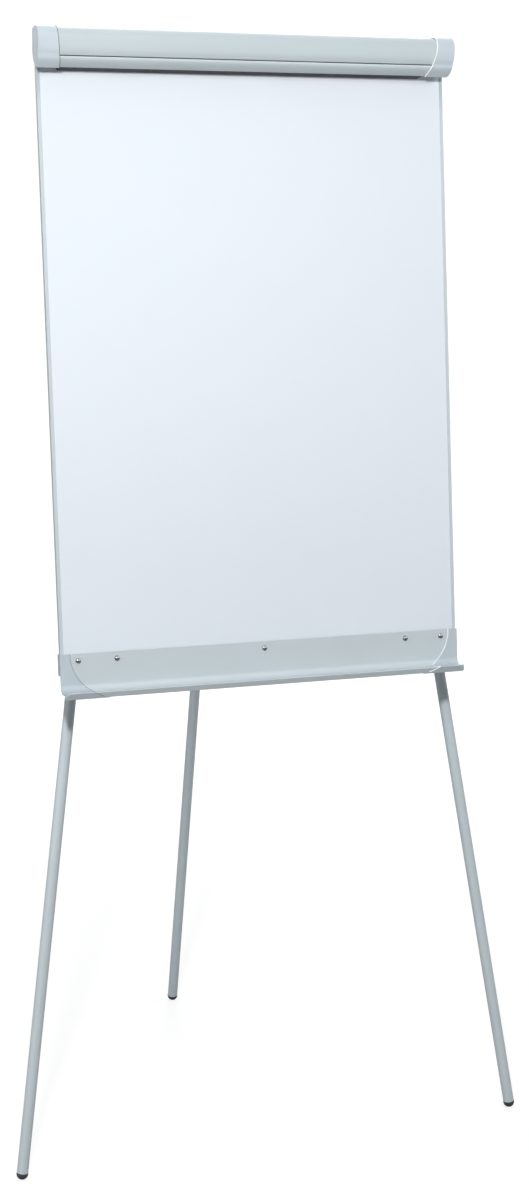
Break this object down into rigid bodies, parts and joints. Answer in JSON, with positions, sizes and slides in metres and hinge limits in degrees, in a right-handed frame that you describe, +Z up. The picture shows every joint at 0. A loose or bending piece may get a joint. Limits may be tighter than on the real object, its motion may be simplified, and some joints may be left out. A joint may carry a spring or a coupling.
{
  "type": "flipchart easel",
  "caption": "Flipchart easel: a leaning whiteboard with a hinged paper clamp bar on top and a pen tray below, on a tripod of telescopic tube legs.",
  "frame": {"origin": "on the floor, in the middle of the footprint of the three feet", "axes": "+Z up, -Y towards the person writing on the board, +X to that person's right"},
  "size_m": [0.9086, 0.6695, 1.8674],
  "materials": {
    "frame_paint": "satin light grey coating",
    "writing_lacquer": "gloss white lacquer",
    "core_board": "raw chipboard",
    "back_paint": "matt grey coating",
    "cover_plastic": "satin light grey",
    "dark_plastic": "fine-grained dark grey",
    "rubber": "matt dark grey",
    "chrome": "polished",
    "steel": "bright zinc",
    "bracket_metal": "zinc plated sheet",
    "tube_paint": "satin grey coating"
  },
  "bodies": {
    "board": {"board_core": "core_board", "writing_sheet": "writing_lacquer", "back_sheet": "back_paint", "frame_left": "frame_paint", "frame_right": "frame_paint", "frame_top": "frame_paint", "frame_bottom": "frame_paint", "pen_tray": "frame_paint", "tray_cover_left": "cover_plastic", "tray_cover_right": "cover_plastic", "tray_screw_1": "chrome", "tray_screw_2": "chrome", "tray_screw_3": "chrome", "tray_screw_4": "chrome", "tray_screw_5": "chrome", "clamp_rail": "bracket_metal", "clamp_rod": "steel", "clamp_spring_left": "steel", "clamp_spring_right": "steel", "leg_crosshead": "bracket_metal", "crosshead_screw_left": "steel", "crosshead_screw_right": "steel", "leg_pivot_bolt_left": "steel", "leg_pivot_bolt_right": "steel", "rear_leg_bracket": "bracket_metal", "rear_hinge_pin": "steel", "rear_stop_pad": "rubber", "leg_guide_left": "bracket_metal", "leg_guide_right": "bracket_metal"},
    "clamp_bar": {"clamp_cover": "frame_paint", "jaw_strip": "rubber", "clamp_cap_left": "cover_plastic", "clamp_cap_right": "cover_plastic"},
    "hook_left": {"pad_hook_left": "dark_plastic"},
    "hook_right": {"pad_hook_right": "dark_plastic"},
    "leg_left": {"leg_tube_left": "tube_paint", "leg_plug_left": "dark_plastic", "leg_collar_left": "dark_plastic"},
    "lower_leg_left": {"lower_tube_left": "tube_paint", "tube_glide_left": "dark_plastic", "foot_left": "rubber"},
    "clamp_knob_left": {"knob_left": "dark_plastic", "knob_screw_left": "steel"},
    "leg_right": {"leg_tube_right": "tube_paint", "leg_plug_right": "dark_plastic", "leg_collar_right": "dark_plastic"},
    "lower_leg_right": {"lower_tube_right": "tube_paint", "tube_glide_right": "dark_plastic", "foot_right": "rubber"},
    "clamp_knob_right": {"knob_right": "dark_plastic", "knob_screw_right": "steel"},
    "leg_rear": {"leg_tube_rear": "tube_paint", "rear_leg_head": "dark_plastic", "leg_collar_rear": "dark_plastic"},
    "lower_leg_rear": {"lower_tube_rear": "tube_paint", "tube_glide_rear": "dark_plastic", "foot_rear": "rubber"},
    "clamp_knob_rear": {"knob_rear": "dark_plastic", "knob_screw_rear": "steel"}
  },
  "joints": [
    {"name": "clamp_open", "type": "hinge", "parent": "board", "child": "clamp_bar", "pos_m": [0, -0.13422, 1.85269], "axis": [-1, 0, 0], "range_deg": [0, 35], "stiffness_Nm_per_rad": 0.4, "springref_deg": -34.38},
    {"name": "hook_slide_left", "type": "slide", "parent": "board", "child": "hook_left", "axis": [1, 0, 0], "range_m": [-0.05, 0.05]},
    {"name": "hook_slide_right", "type": "slide", "parent": "board", "child": "hook_right", "axis": [1, 0, 0], "range_m": [-0.05, 0.05]},
    {"name": "leg_fold_left", "type": "hinge", "parent": "board", "child": "leg_left", "pos_m": [-0.1882, -0.11001, 1.75854], "axis": [0, -0.9925, 0.1219], "range_deg": [0, 8.27]},
    {"name": "leg_height_left", "type": "slide", "parent": "leg_left", "child": "lower_leg_left", "axis": [0.1438, 0.1206, 0.9822], "range_m": [0, 0.55]},
    {"name": "knob_turn_left", "type": "hinge", "parent": "leg_left", "child": "clamp_knob_left", "pos_m": [-0.31492, -0.19214, 0.89024], "axis": [0, 0.9925, -0.1219], "range_deg": [0, 540]},
    {"name": "leg_fold_right", "type": "hinge", "parent": "board", "child": "leg_right", "pos_m": [0.1882, -0.11001, 1.75854], "axis": [0, 0.9925, -0.1219], "range_deg": [0, 8.27]},
    {"name": "leg_height_right", "type": "slide", "parent": "leg_right", "child": "lower_leg_right", "axis": [-0.1438, 0.1206, 0.9822], "range_m": [0, 0.55]},
    {"name": "knob_turn_right", "type": "hinge", "parent": "leg_right", "child": "clamp_knob_right", "pos_m": [0.31492, -0.19214, 0.89024], "axis": [0, 0.9925, -0.1219], "range_deg": [0, 540]},
    {"name": "leg_fold_rear", "type": "hinge", "parent": "board", "child": "leg_rear", "pos_m": [0, -0.09214, 1.75635], "axis": [-1, 0, 0], "range_deg": [0, 20.42]},
    {"name": "leg_height_rear", "type": "slide", "parent": "leg_rear", "child": "lower_leg_rear", "axis": [0, -0.2321, 0.9727], "range_m": [0, 0.55]},
    {"name": "knob_turn_rear", "type": "hinge", "parent": "leg_rear", "child": "clamp_knob_rear", "pos_m": [0, 0.13596, 0.90504], "axis": [0, 0.9727, 0.2321], "range_deg": [0, 540]}
  ]
}
